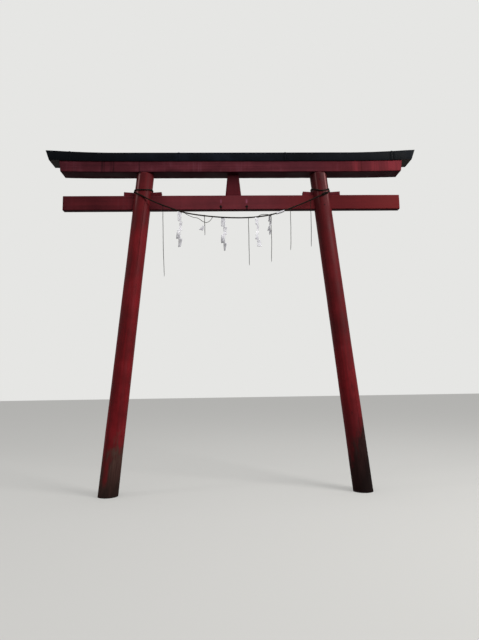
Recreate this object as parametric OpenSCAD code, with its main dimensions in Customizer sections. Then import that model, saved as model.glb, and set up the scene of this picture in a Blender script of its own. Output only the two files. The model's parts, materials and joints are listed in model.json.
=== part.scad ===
// A wooden torii gate. Two round posts lean towards each other. A tie beam passes through both and is held by
// wedges. A center strut and the posts' heads carry the upper beam, and on that lies the cap beam under its
// folded metal cover. A straw rope is wound round the posts and hangs between them, and paper streamers and thin
// straw strands hang from it.
// Lengths are in millimetres. The origin is the middle of the left post's foot, X points at the right post,
// Y away from the front and Z up.

/* [Posts] */
// Distance between the middles of the posts' feet
post_foot_spacing = 2686; // [2400:1:3000]
// Distance between the middles of the posts' heads
post_head_spacing = 1956; // [1800:1:2200]
// Height of the posts, from the ground to the underside of the upper beam
post_h = 3495; // [3400:1:3700]
// Diameter of a post at the ground
post_foot_d = 210; // [195:1:230]
// Diameter of a post under the upper beam
post_head_d = 180; // [165:1:186]
// Side of the square tenon on a post's head
head_tenon_w = 78; // [50:1:90]
// Height of the tenon on a post's head
head_tenon_h = 88; // [50:1:110]

/* [Tie beam] */
// Length of the tie beam
tie_l = 3760; // [3400:1:4000]
// Height of the tie beam
tie_h = 165; // [150:1:180]
// Thickness of the tie beam
tie_t = 70; // [60:1:84]
// Height of the open space between the tie beam and the upper beam
window_h = 250; // [240:1:330]
// Bevel along the edges of the tie beam
tie_bevel = 4; // [1:0.5:8]

/* [Tie beam nails] */
// Distance of the left nail from the gate's middle
left_nail_out = 132; // [80:1:300]
// Distance of the right nail from the gate's middle
right_nail_out = 157; // [80:1:300]
// Distance of the nails below the tie beam's top
nail_drop = 130; // [60:1:131]
// Diameter of a nail's head
nail_head_d = 28; // [16:1:32]
// Height of a nail's head
nail_head_h = 8; // [4:1:14]
// Diameter of a nail's shank
nail_shank_d = 7; // [5:1:9]
// Length of a nail's shank in the tie beam
nail_shank_l = 50; // [30:1:55]

/* [Wedges] */
// Length of a wedge that stands out of the post
wedge_out = 119; // [90:1:140]
// Height of a wedge at its outer end
wedge_outer_h = 44; // [38:1:48]
// Height of a wedge at its inner end, in the middle of the post
wedge_inner_h = 30; // [20:1:36]
// Thickness of a wedge
wedge_t = 62; // [40:1:66]
// Gap between the two wedges inside a post
wedge_gap = 8; // [2:1:20]

/* [Center strut] */
// Width of the center strut at its foot
strut_foot_w = 173; // [140:1:200]
// Width of the center strut at its head
strut_head_w = 112; // [90:1:130]
// Thickness of the center strut
strut_t = 64; // [50:1:70]
// Width of the stub tenons on the center strut
strut_tenon_w = 70; // [40:1:84]
// Thickness of the stub tenons on the center strut
strut_tenon_t = 24; // [16:1:40]
// Length of the stub tenons on the center strut
strut_tenon_l = 30; // [15:1:45]

/* [Upper beam] */
// Height of the upper beam
upper_h = 130; // [120:1:150]
// Depth of the upper beam, front to back
upper_d = 190; // [188:1:200]
// How far the upper beam's ends run outwards from bottom to top
upper_end_out = 15; // [5:1:30]

/* [Cap beam] */
// Length of the cap beam along its underside, over its covers
cap_l = 4060; // [3980:1:4150]
// How far the cap beam's underside runs past the upper beam's top at each end
cap_overhang = 110; // [60:1:160]
// How far the cap's lower edges stand out in front of the upper beam
cap_side_out = 11; // [8:1:20]
// How far the cap's eaves stand out past its lower edges
eave_out = 5; // [2:1:12]
// Height of the cap beam's face, from its underside to its eaves
cap_face_h = 88; // [75:1:105]
// Height of the cap beam's ridge above its eaves
cap_ridge_h = 30; // [18:1:45]
// Run of the cap beam's slanted ends for each unit of height
cap_end_slant = 0.34; // [0.2:0.01:0.45]

/* [Upward curve] */
// Distance from the gate's middle to where the beams begin to curve up
curve_start = 1240; // [1100:10:1400]
// Radius of the curve of the beams' undersides
curve_low_r = 24000; // [20000:500:40000]
// Radius of the curve of the cap beam's top
curve_top_r = 10400; // [9000:100:15000]

/* [Cap cover] */
// Thickness of the folded metal cover
sheet_t = 2; // [1:0.5:3]
// How far the cover reaches below the cap beam as a drip edge
drip_h = 5; // [3:1:9]
// Length of the cover's two end sheets along the underside
end_sheet_l = 220; // [160:1:400]
// Width of the folded seam between two sheets
seam_w = 16; // [10:1:24]
// Height of the folded seam above the sheets
seam_h = 2.5; // [1.5:0.5:4]

/* [Rope] */
// Diameter of the rope
rope_d = 16; // [12:1:17]
// Height of the left rope ring's middle above the tie beam
left_ring_rise = 54; // [53:1:75]
// Rise and fall of the left rope ring round its post
left_ring_wave = 10; // [9:1:16]
// Height of the right rope ring's middle above the tie beam
right_ring_rise = 51; // [51:1:75]
// Rise and fall of the right rope ring round its post
right_ring_wave = 22; // [21:1:28]
// Diameter of the knots at the rope's ends
knot_d = 32; // [28:1:34]
// Height of the knots' middles above the tie beam
knot_rise = 30; // [23:1:31]

/* [Paper streamers] */
// Length of the left streamer
left_streamer_l = 395; // [200:1:450]
// Length of the middle streamer
middle_streamer_l = 373; // [200:1:450]
// Length of the right streamer
right_streamer_l = 330; // [200:1:450]
// Length of the short streamer
short_streamer_l = 216; // [120:1:450]
// Distance of the left streamer from the middle of the left post's foot
left_streamer_x = 757; // [650:1:850]
// Distance of the middle streamer from the middle of the left post's foot
middle_streamer_x = 1236; // [1000:1:1350]
// Distance of the right streamer from the middle of the left post's foot
right_streamer_x = 1606; // [1500:1:1640]
// Distance from the right streamer to the short one
short_streamer_gap = 142; // [100:1:240]
// Width of a streamer's strips
strip_w = 46; // [30:1:70]
// Sideways step between a streamer's strips
strip_step = 26; // [10:1:28]
// Number of strips in a streamer
strips = 4; // [3:1:6]
// Thickness of a folded streamer
paper_t = 1; // [0.5:0.1:2]

/* [Straw strands] */
// Diameter of a straw strand that hangs from the rope
strand_d = 6.5; // [3:0.5:8]

/* [Hidden] */

// Clearance between a piece and the cut or cover that takes it
fit = 0.3;
// Gap between the cover's sheets and what they lie on or meet
lap = 0.3;
// Extra length that makes a cut run past the faces it opens
past = 40;

// Shared places
mid_x = post_foot_spacing / 2;
lean_x = (post_foot_spacing - post_head_spacing) / 2;
lean_angle = atan(lean_x / post_h);
tie_top = post_h - window_h;
tie_z = tie_top - tie_h;
cap_z = post_h + upper_h;
upper_l = cap_l - 2 * (cap_overhang + upper_end_out);
cap_low_d = upper_d + 2 * cap_side_out;
cap_eave_d = cap_low_d + 2 * eave_out;
short_streamer_x = right_streamer_x + short_streamer_gap;

// Places of the cover's ends and joints, from the gate's middle
sheet_end_x = cap_l / 2 - sheet_t - lap;
end_joint_x = cap_l / 2 - end_sheet_l;
middle_joint_x = end_joint_x / 3;

// Step between the cross-sections along the curved ends of the beams
bend_step = 90;
bends = [for (i = [0:floor((cap_l / 2 - curve_start) / bend_step)]) curve_start + i * bend_step];

// Colours
vermilion = "#6a1b21";
dark_vermilion = "#581b21";
iron = "#241a18";
cap_black = "#14171d";
timber = "#2a221e";
straw = "#3a3128";
paper_white = "#e2dfe4";

// Rope route from the knot behind the left post, over the fronts of both posts, to the knot behind the right
// one. Its heights are measured from the tie beam's top
rope_route = [
    [254, 53, 37], [249, 38, 45], [242.5, 0, 47], [250, -40, 43], [267, -70, 21], [291, -90, 1],
    [337, -101, -22], [400, -101, -58], [480, -101, -97], [565, -101, -133], [650, -101, -166],
    [740, -101, -199], [830, -101, -225], [930, -101, -244], [1030, -101, -258], [1130, -101, -269],
    [1230, -101, -277], [1340, -101, -282], [1450, -101, -283], [1550, -101, -279], [1650, -101, -269],
    [1740, -101, -255], [1830, -101, -232], [1920, -101, -202], [2000, -101, -170], [2080, -101, -138],
    [2160, -101, -105], [2225, -101, -76], [2285, -101, -48], [2349, -101, -18], [2395, -90, 4],
    [2419, -70, 24], [2436, -40, 45], [2443.5, 0, 51], [2437, 38, 45], [2432, 53, 37]
];
// Depth at which the rope hangs free
rope_free_y = -101;
// Straw strands from left to right: distance from the middle of the left post's foot, and length
strand_places = [[574, 790], [1029, 215], [1514, 532], [1764, 525], [1981, 466], [2208, 522]];
// Rope points between two neighbours of the route, and sides of the rope
rope_steps = 2;
rope_sides = 8;
ring_points = 24;
// Angle round a post at which a knot lies, from the direction of the other post
knot_angle = 141;

// Middle of a post at height z, measured from that post's own foot towards the other post
function post_x(z) = z * lean_x / post_h;

// Radius of a post at height z
function post_r(z) = (post_foot_d + (post_head_d - post_foot_d) * z / post_h) / 2;

// How far a curve of radius r has risen at distance x from the gate's middle
function rise(x, r) = let (s = max(0, abs(x) - curve_start)) r - sqrt(r * r - s * s);

// Distances from the gate's middle between x0 and x1, with the bends that lie between them
function stations(x0, x1) = concat(
    [x0],
    [for (i = [len(bends) - 1:-1:0]) if (-bends[i] > x0 + 1 && -bends[i] < x1 - 1) -bends[i]],
    [for (b = bends) if (b > x0 + 1 && b < x1 - 1) b],
    [x1]
);

// Line along a beam at height z, from x0 to x1, that follows the curve of radius r
function beam_line(x0, x1, z, r) = [for (x = stations(x0, x1)) [mid_x + x, z + rise(x, r)]];

function reversed(list) = [for (i = [len(list) - 1:-1:0]) list[i]];

// Outline of the cap beam's cross-section, moved inwards by inset: [depth, height, is it on the top curve]
function cap_outline(inset, bottom) = [
    [-cap_low_d / 2 + inset, bottom, false],
    [-cap_eave_d / 2 + inset, cap_face_h - inset, true],
    [0, cap_face_h + cap_ridge_h - inset, true],
    [cap_eave_d / 2 - inset, cap_face_h - inset, true],
    [cap_low_d / 2 - inset, bottom, false]
];

// One cross-section of the cap beam at distance x from the middle, with its plane slanted outwards by slant
function cap_section(x, slant, outline) = [
    for (p = outline)
        let (z = p[1] + rise(x, p[2] ? curve_top_r : curve_low_r))
        [mid_x + x + slant * (z - rise(x, curve_low_r)), p[0], cap_z + z]
];

// Joins a row of cross-sections into one solid. The outline of a folded sheet runs out along its outside and
// back along its inside, and each of its ends is closed by a strip of four-sided faces
module joined_sections(rows, folded = false) {
    n = len(rows[0]);
    last = len(rows) - 1;
    sides = [
        for (i = [0:last - 1], j = [0:n - 1])
            [i * n + j, (i + 1) * n + j, (i + 1) * n + (j + 1) % n, i * n + (j + 1) % n]
    ];
    end_face = [for (j = [0:n - 1]) j];
    end_strip = [for (j = [0:n / 2 - 2]) [j, j + 1, n - 2 - j, n - 1 - j]];
    ends = folded ? end_strip : [end_face];
    far_ends = [for (face = ends) [for (j = reversed(face)) last * n + j]];
    polyhedron([for (row = rows) each row], concat(sides, ends, far_ends), convexity = 6);
}

// Cross-section of the cover, its outside raised by fold_h
function cover_outline(fold_h) =
    concat(cap_outline(-fold_h, -drip_h), reversed(cap_outline(sheet_t, -drip_h)));

// A leaning round post with a flat foot and head
module leaning_post(grow) {
    d_step = (post_foot_d - post_head_d) * past / norm([lean_x, post_h]);
    intersection() {
        rotate([0, lean_angle, 0])
            translate([0, 0, -past])
                cylinder(
                    h = norm([lean_x, post_h]) + 2 * past,
                    d1 = post_foot_d + d_step + 2 * grow,
                    d2 = post_head_d - d_step + 2 * grow,
                    $fn = 72
                );
        translate([-post_foot_spacing / 2, -post_foot_d, 0])
            cube([post_foot_spacing, 2 * post_foot_d, post_h]);
    }
}

// Side view of the wedge on the outer side of the left post
module wedge_outline(grow) {
    inner_x = post_x(tie_top) - wedge_gap / 2;
    outer_x = post_x(tie_top) - post_r(tie_top) - wedge_out;
    polygon([
        [outer_x, tie_top - grow],
        [inner_x + grow, tie_top - grow],
        [inner_x + grow, tie_top + wedge_inner_h + grow],
        [outer_x, tie_top + wedge_outer_h + grow]
    ]);
}

// Outer wedge of the left post, made larger all round by grow where it is a cut
module outer_wedge(grow) {
    translate([0, wedge_t / 2 + grow, 0])
        rotate([90, 0, 0])
            linear_extrude(wedge_t + 2 * grow) wedge_outline(grow);
}

// Inner wedge of the left post, the outer one mirrored about the post's middle at the tie beam's top
module inner_wedge(grow) {
    translate([2 * post_x(tie_top), 0, 0]) mirror([1, 0, 0]) outer_wedge(grow);
}

// Mirrors a piece of the left side to the right side
module right_side() {
    translate([post_foot_spacing, 0, 0]) mirror([1, 0, 0]) children();
}

// Left post with its head tenon, and its mortise for the tie beam and wedges
module plain_post() {
    difference() {
        union() {
            leaning_post(0);
            translate([lean_x - head_tenon_w / 2, -head_tenon_w / 2, post_h - past])
                cube([head_tenon_w, head_tenon_w, head_tenon_h + past]);
        }
        translate([-post_foot_d, -tie_t / 2 - fit, tie_z - fit])
            cube([lean_x + 2 * post_foot_d, tie_t + 2 * fit, tie_h + 2 * fit]);
        outer_wedge(fit);
        inner_wedge(fit);
    }
}

module left_post() {
    color(vermilion) plain_post();
}

module right_post() {
    color(vermilion) right_side() plain_post();
}

module tie_beam() {
    color(vermilion) difference() {
        translate([mid_x - tie_l / 2, 0, tie_z])
            rotate([90, 0, 90])
                linear_extrude(tie_l)
                    polygon([
                        [-tie_t / 2 + tie_bevel, 0],
                        [tie_t / 2 - tie_bevel, 0],
                        [tie_t / 2, tie_bevel],
                        [tie_t / 2, tie_h - tie_bevel],
                        [tie_t / 2 - tie_bevel, tie_h],
                        [-tie_t / 2 + tie_bevel, tie_h],
                        [-tie_t / 2, tie_h - tie_bevel],
                        [-tie_t / 2, tie_bevel]
                    ]);
        strut_tenon(tie_top - strut_tenon_l - fit, fit);
        nail_hole(mid_x - left_nail_out);
        nail_hole(mid_x + right_nail_out);
    }
}

// Places something modelled along Z at the nail at x, with Z pointing out of the tie beam's front
module at_nail(x) {
    translate([x, -tie_t / 2, tie_top - nail_drop]) rotate([90, 0, 0]) children();
}

// Hole in the tie beam for the shank of the nail at x
module nail_hole(x) {
    at_nail(x)
        translate([0, 0, -nail_shank_l - fit])
            cylinder(h = nail_shank_l + fit + past, d = nail_shank_d + 2 * fit, $fn = 32);
}

// A forged nail with a flat-topped, bevelled head
module nail(x) {
    color(iron)
        at_nail(x)
            rotate_extrude($fn = 32)
                polygon([
                    [0, -nail_shank_l],
                    [nail_shank_d / 2, -nail_shank_l],
                    [nail_shank_d / 2, 0],
                    [nail_head_d / 2, 0],
                    [nail_head_d / 2, nail_head_h / 2],
                    [nail_head_d / 4, nail_head_h],
                    [0, nail_head_h]
                ]);
}

module left_tie_nail() {
    nail(mid_x - left_nail_out);
}

module right_tie_nail() {
    nail(mid_x + right_nail_out);
}

module left_outer_wedge() {
    color(dark_vermilion) outer_wedge(0);
}

module left_inner_wedge() {
    color(dark_vermilion) inner_wedge(0);
}

module right_inner_wedge() {
    color(dark_vermilion) right_side() inner_wedge(0);
}

module right_outer_wedge() {
    color(dark_vermilion) right_side() outer_wedge(0);
}

// Stub tenon of the center strut from height z, made larger all round by grow where it is a cut
module strut_tenon(z, grow) {
    translate([mid_x - strut_tenon_w / 2 - grow, -strut_tenon_t / 2 - grow, z])
        cube([strut_tenon_w + 2 * grow, strut_tenon_t + 2 * grow, 2 * strut_tenon_l]);
}

module center_strut() {
    color(vermilion) {
        translate([mid_x, strut_t / 2, tie_top])
            rotate([90, 0, 0])
                linear_extrude(strut_t)
                    polygon([
                        [-strut_foot_w / 2, 0],
                        [strut_foot_w / 2, 0],
                        [strut_head_w / 2, post_h - tie_top],
                        [-strut_head_w / 2, post_h - tie_top]
                    ]);
        strut_tenon(tie_top - strut_tenon_l, 0);
        strut_tenon(post_h - strut_tenon_l, 0);
    }
}

// Hole for the tenon on the left post's head
module head_mortise() {
    translate([lean_x - head_tenon_w / 2 - fit, -head_tenon_w / 2 - fit, post_h - past])
        cube([head_tenon_w + 2 * fit, head_tenon_w + 2 * fit, head_tenon_h + fit + past]);
}

module upper_beam() {
    color(vermilion) difference() {
        translate([0, upper_d / 2, 0])
            rotate([90, 0, 0])
                linear_extrude(upper_d)
                    polygon(concat(
                        beam_line(-upper_l / 2, upper_l / 2, post_h, curve_low_r),
                        reversed(beam_line(
                            -upper_l / 2 - upper_end_out, upper_l / 2 + upper_end_out, cap_z, curve_low_r
                        ))
                    ));
        head_mortise();
        right_side() head_mortise();
        strut_tenon(post_h - strut_tenon_l + fit, fit);
    }
}

// The cap beam's timber, inside its cover
module cap_beam() {
    places = stations(-sheet_end_x, sheet_end_x);
    last = len(places) - 1;
    color(timber) joined_sections([
        for (i = [0:last])
            cap_section(
                places[i],
                i == 0 ? -cap_end_slant : i == last ? cap_end_slant : 0,
                cap_outline(sheet_t + lap, 0)
            )
    ]);
}

// A sheet of the cover between x0 and x1, with a raised fold along an end where it is locked to its neighbour
module cap_sheet(x0, x1, fold0 = false, fold1 = false, slant0 = 0, slant1 = 0) {
    fold_l = seam_w + seam_h / 2;
    places = concat(
        fold0 ? [[x0, seam_h], [x0 + seam_w, seam_h]] : [],
        [for (x = stations(x0 + (fold0 ? fold_l : 0), x1 - (fold1 ? fold_l : 0))) [x, 0]],
        fold1 ? [[x1 - seam_w, seam_h], [x1, seam_h]] : []
    );
    last = len(places) - 1;
    rows = [
        for (i = [0:last])
            cap_section(places[i][0], i == 0 ? slant0 : i == last ? slant1 : 0, cover_outline(places[i][1]))
    ];
    color(cap_black) joined_sections(rows, true);
}

module cap_sheet_left_end() {
    cap_sheet(-sheet_end_x, -end_joint_x - lap, slant0 = -cap_end_slant);
}

module cap_sheet_left() {
    cap_sheet(-end_joint_x, -middle_joint_x - lap, fold0 = true);
}

module cap_sheet_middle() {
    cap_sheet(-middle_joint_x, middle_joint_x, fold0 = true, fold1 = true);
}

module cap_sheet_right() {
    cap_sheet(middle_joint_x + lap, end_joint_x, fold1 = true);
}

module cap_sheet_right_end() {
    cap_sheet(end_joint_x + lap, sheet_end_x, slant1 = cap_end_slant);
}

// Closing plate over the right end of the cap beam
module cap_end_plate() {
    color(cap_black) joined_sections([
        cap_section(cap_l / 2 - sheet_t, cap_end_slant, cap_outline(0, -drip_h)),
        cap_section(cap_l / 2, cap_end_slant, cap_outline(0, -drip_h))
    ]);
}

module right_cap_end_plate() {
    cap_end_plate();
}

module left_cap_end_plate() {
    right_side() cap_end_plate();
}

// Point at height z and angle a round the left post, off outside its surface. A level section of the leaning
// post is a little longer along X than it is deep
function beside_post(a, z, off) =
    [post_x(z) + (post_r(z) / cos(lean_angle) + off) * cos(a), (post_r(z) + off) * sin(a), z];

// A closed ring of rope round the left post, wide enough that its straight stretches clear the post
function ring_route(z, wave) =
    let (chord_off = post_r(z) * (1 / cos(180 / ring_points) - 1))
    [
        for (i = [0:ring_points - 1])
            let (a = i * 360 / ring_points)
            beside_post(a, z + wave * cos(2 * a), rope_d / 2 + fit + chord_off)
    ];

// Point on the smooth curve through b and c, with neighbours a and d, at t from 0 to 1
function curve_point(a, b, c, d, t) =
    0.5 * (2 * b + (c - a) * t + (2 * a - 5 * b + 4 * c - d) * t * t + (3 * b - a - 3 * c + d) * t * t * t);

// The route with more points between its own
function smoothed(route) = [
    for (i = [0:len(route) - 2], k = [0:rope_steps - 1])
        curve_point(
            route[max(0, i - 1)], route[i], route[i + 1], route[min(len(route) - 1, i + 2)], k / rope_steps
        ),
    route[len(route) - 1]
];

// Circle of a tube round point p, square to direction dir
function tube_circle(p, dir, r) =
    let (
        forward = dir / norm(dir),
        side_raw = cross(forward, [0, 0, 1]),
        side = side_raw / norm(side_raw),
        up = cross(side, forward)
    )
    [for (k = [0:rope_sides - 1])
        p + r * (cos(k * 360 / rope_sides) * side + sin(k * 360 / rope_sides) * up)];

// Tube along an open route
module open_tube(route, r) {
    last = len(route) - 1;
    joined_sections([
        for (i = [0:last]) tube_circle(route[i], route[min(last, i + 1)] - route[max(0, i - 1)], r)
    ]);
}

// Tube along a closed route
module closed_tube(route, r) {
    count = len(route);
    rows = [
        for (i = [0:count - 1])
            tube_circle(route[i], route[(i + 1) % count] - route[(i + count - 1) % count], r)
    ];
    n = rope_sides;
    polyhedron(
        [for (row = rows) each row],
        [
            for (i = [0:count - 1], j = [0:n - 1])
                let (next = (i + 1) % count, k = (j + 1) % n)
                [i * n + j, next * n + j, next * n + k, i * n + k]
        ],
        convexity = 8
    );
}

module left_rope_ring() {
    color(straw) closed_tube(ring_route(tie_top + left_ring_rise, left_ring_wave), rope_d / 2);
}

module right_rope_ring() {
    color(straw) right_side() closed_tube(ring_route(tie_top + right_ring_rise, right_ring_wave), rope_d / 2);
}

module rope_span() {
    color(straw) translate([0, 0, tie_top]) open_tube(smoothed(rope_route), rope_d / 2);
}

// Knot at the end of the rope behind the left post
module left_rope_knot() {
    color(straw)
        translate(beside_post(knot_angle, tie_top + knot_rise, knot_d / 2 + fit))
            sphere(d = knot_d, $fn = 32);
}

module right_rope_knot() {
    right_side() left_rope_knot();
}

// Height of the rope's middle where it hangs free, at x
function rope_z(x) =
    tie_top + lookup(x, [for (p = smoothed(rope_route)) if (p[1] <= rope_free_y) [p[0], p[2]]]);

// Zigzag outline of a streamer of length l, with its top in the middle
module streamer_outline(l) {
    strip_h = l / strips;
    left = [
        for (i = [0:strips - 1], end = [0, 1])
            [strip_step * (i % 2) - strip_w / 2, -(i + end) * strip_h]
    ];
    polygon(concat(left, reversed([for (p = left) p + [strip_w, 0]])));
}

// Paper streamer of length l, hung under the rope at x, clear of it over the whole width of its first strip
module streamer(x, l) {
    low_z = min(rope_z(x - strip_w / 2), rope_z(x), rope_z(x + strip_w / 2));
    slope = atan((rope_z(x + strip_w / 2) - rope_z(x - strip_w / 2)) / strip_w);
    color(paper_white)
        translate([x, rope_free_y + paper_t / 2, low_z - rope_d / 2 / cos(slope) - fit])
            rotate([90, 0, 0])
                linear_extrude(paper_t) streamer_outline(l);
}

module left_streamer() {
    streamer(left_streamer_x, left_streamer_l);
}

module middle_streamer() {
    streamer(middle_streamer_x, middle_streamer_l);
}

module right_streamer() {
    streamer(right_streamer_x, right_streamer_l);
}

module short_streamer() {
    streamer(short_streamer_x, short_streamer_l);
}

// How far the rope's underside lies below its middle, off in front of the middle
function rope_depth(off) = rope_d / 2 - off * tan(180 / rope_sides);

// Straw strand hung under the rope, just in front of the streamers
module straw_strand(place) {
    x = place[0];
    r = strand_d / 2;
    out = paper_t / 2 + fit + r;
    slope = atan((rope_z(x + r) - rope_z(x - r)) / strand_d);
    undersides = [for (a = [0:15:345]) rope_z(x + r * cos(a)) - rope_depth(out + r * sin(a)) / cos(slope)];
    color(straw)
        translate([x, rope_free_y - out, min(undersides) - fit - place[1]])
            cylinder(h = place[1], d = strand_d, $fn = 24);
}

module straw_strand_1() {
    straw_strand(strand_places[0]);
}

module straw_strand_2() {
    straw_strand(strand_places[1]);
}

module straw_strand_3() {
    straw_strand(strand_places[2]);
}

module straw_strand_4() {
    straw_strand(strand_places[3]);
}

module straw_strand_5() {
    straw_strand(strand_places[4]);
}

module straw_strand_6() {
    straw_strand(strand_places[5]);
}

left_post();
right_post();
tie_beam();
left_tie_nail();
right_tie_nail();
left_outer_wedge();
left_inner_wedge();
right_inner_wedge();
right_outer_wedge();
center_strut();
upper_beam();
cap_beam();
cap_sheet_left_end();
cap_sheet_left();
cap_sheet_middle();
cap_sheet_right();
cap_sheet_right_end();
left_cap_end_plate();
right_cap_end_plate();
left_rope_ring();
right_rope_ring();
rope_span();
left_rope_knot();
right_rope_knot();
left_streamer();
middle_streamer();
right_streamer();
short_streamer();
straw_strand_1();
straw_strand_2();
straw_strand_3();
straw_strand_4();
straw_strand_5();
straw_strand_6();
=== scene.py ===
import json
import math
import random

import bmesh
import bpy
import numpy as np
from mathutils import Matrix, Vector, noise
from mathutils.bvhtree import BVHTree


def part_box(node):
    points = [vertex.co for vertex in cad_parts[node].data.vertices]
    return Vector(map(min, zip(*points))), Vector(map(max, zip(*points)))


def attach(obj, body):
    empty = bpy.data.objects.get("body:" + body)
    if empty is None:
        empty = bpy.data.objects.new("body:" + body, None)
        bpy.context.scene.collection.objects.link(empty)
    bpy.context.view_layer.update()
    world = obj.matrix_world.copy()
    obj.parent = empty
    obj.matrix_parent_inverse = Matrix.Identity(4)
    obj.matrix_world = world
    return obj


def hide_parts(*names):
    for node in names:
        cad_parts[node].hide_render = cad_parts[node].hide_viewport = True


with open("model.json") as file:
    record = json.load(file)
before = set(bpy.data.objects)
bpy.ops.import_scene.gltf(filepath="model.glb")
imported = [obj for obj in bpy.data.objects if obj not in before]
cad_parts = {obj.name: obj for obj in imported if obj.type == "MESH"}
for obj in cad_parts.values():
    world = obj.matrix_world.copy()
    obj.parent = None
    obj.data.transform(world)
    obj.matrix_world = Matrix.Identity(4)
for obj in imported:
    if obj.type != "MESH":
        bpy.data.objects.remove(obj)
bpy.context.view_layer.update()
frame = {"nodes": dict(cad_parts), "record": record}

# Places and sizes, in metres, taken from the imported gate
TIE_LOW, TIE_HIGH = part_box("tie_beam")
UPPER_LOW, UPPER_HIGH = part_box("upper_beam")
GATE_MIDDLE = (TIE_LOW.x + TIE_HIGH.x) / 2
TIE_TOP = TIE_HIGH.z
POST_TOP = UPPER_LOW.z
RIGHT_FOOT_X = next(m for m in frame["record"]["mounts"] if m["name"] == "right_post_foot")["pos_m"][0]

# A post's lean and taper
POST_LEAN = 0.365
POST_FOOT_R = 0.105
POST_HEAD_R = 0.090
LEAN_COS = math.cos(math.atan(POST_LEAN / POST_TOP))
# The photograph shows the posts' heads a little thicker than the solids, so their surface swells by this much
HEAD_SWELL = 0.005
# The photograph shows the tie beam's ends this much further out than the solid's
TIE_END_OUT = 0.008

# The upper beam
UPPER_HEIGHT = 0.130
UPPER_END_OUT = 0.015
CURVE_START = 1.240
CURVE_RADIUS = 24.0

# The rope. Its route's heights are measured from the tie beam's top
ROPE_D = 0.016
ROPE_LAY = 0.055
ROPE_ROUTE = [
    (0.254, 0.053, 0.037), (0.249, 0.038, 0.045), (0.2425, 0, 0.047), (0.250, -0.040, 0.043),
    (0.267, -0.070, 0.021), (0.291, -0.090, 0.001), (0.337, -0.101, -0.022), (0.400, -0.101, -0.058),
    (0.480, -0.101, -0.097), (0.565, -0.101, -0.133), (0.650, -0.101, -0.166), (0.740, -0.101, -0.199),
    (0.830, -0.101, -0.225), (0.930, -0.101, -0.244), (1.030, -0.101, -0.258), (1.130, -0.101, -0.269),
    (1.230, -0.101, -0.277), (1.340, -0.101, -0.282), (1.450, -0.101, -0.283), (1.550, -0.101, -0.279),
    (1.650, -0.101, -0.269), (1.740, -0.101, -0.255), (1.830, -0.101, -0.232), (1.920, -0.101, -0.202),
    (2.000, -0.101, -0.170), (2.080, -0.101, -0.138), (2.160, -0.101, -0.105), (2.225, -0.101, -0.076),
    (2.285, -0.101, -0.048), (2.349, -0.101, -0.018), (2.395, -0.090, 0.004), (2.419, -0.070, 0.024),
    (2.436, -0.040, 0.045), (2.4435, 0, 0.051), (2.437, 0.038, 0.045), (2.432, 0.053, 0.037),
]
# Where the rope hangs free in front of the gate, its middle line is nearer to the front than this
ROPE_FRONT_Y = -0.09


# Meshes


def new_piece(name, points, faces, grain=None):
    """A smooth mesh of points and faces. grain holds, for each point, its place across and along the wood's
    grain or the rope's lay, which the materials read."""
    mesh = bpy.data.meshes.new(name)
    mesh.from_pydata([tuple(p) for p in points], [], faces)
    mesh.validate()
    mesh.polygons.foreach_set("use_smooth", [True] * len(mesh.polygons))
    if grain is not None:
        attribute = mesh.attributes.new("grain", "FLOAT_VECTOR", "POINT")
        attribute.data.foreach_set("vector", np.asarray(grain, np.float32).ravel())
    piece = bpy.data.objects.new(name, mesh)
    bpy.context.scene.collection.objects.link(piece)
    return piece


def closed_piece(name, points, faces, grain, sheet=None):
    """A piece with its faces turned outwards. Where sheet is given, its single layer of faces becomes a sheet
    that thick."""
    piece = new_piece(name, points, faces, grain)
    bm = bmesh.new()
    bm.from_mesh(piece.data)
    if sheet:
        bmesh.ops.delete(bm, geom=[v for v in bm.verts if not v.link_faces], context="VERTS")
        bmesh.ops.solidify(bm, geom=bm.faces[:], thickness=sheet)
    bmesh.ops.recalc_face_normals(bm, faces=bm.faces)
    bm.to_mesh(piece.data)
    bm.free()
    return piece


def finish_piece(piece, material, slot, *nodes):
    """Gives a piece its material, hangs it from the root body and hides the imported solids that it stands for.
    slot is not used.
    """
    piece.data.materials.clear()
    piece.data.materials.append(material)
    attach(piece, "root")
    if nodes:
        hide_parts(*nodes)
    return piece


def skin_faces(rings, count, closed=False):
    """Four-sided faces between rings of count points each."""
    faces = []
    for i in range(rings if closed else rings - 1):
        a, b = i * count, (i + 1) % rings * count
        faces += [(a + j, b + j, b + (j + 1) % count, a + (j + 1) % count) for j in range(count)]
    return faces


def grid_faces(row, count, cells):
    """Four-sided faces between a row of count points and the next row, at the given cells."""
    a, b = row * count, (row + 1) * count
    return [(a + j, a + j + 1, b + j + 1, b + j) for j in cells]


def counted_on(faces, first):
    """The same faces with their points counted on from a first one."""
    return [tuple(first + v for v in face) for face in faces]


def close_end(points, faces, grain, first, count, middle, place):
    """Closes a ring of count points, which start at first, with triangles to a middle point."""
    faces += [(first + j, first + (j + 1) % count, len(points)) for j in range(count)]
    points.append(middle)
    grain.append(place)


def add_circle(points, grain, middle, radius, across, above, along, sides):
    """Adds a circle of points round a middle, which lies so far along the grain."""
    for k in range(sides):
        a = 2 * math.pi * k / sides
        points.append(middle + radius * (math.cos(a) * across + math.sin(a) * above))
        grain.append((radius * math.cos(a), radius * math.sin(a), along))


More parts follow.
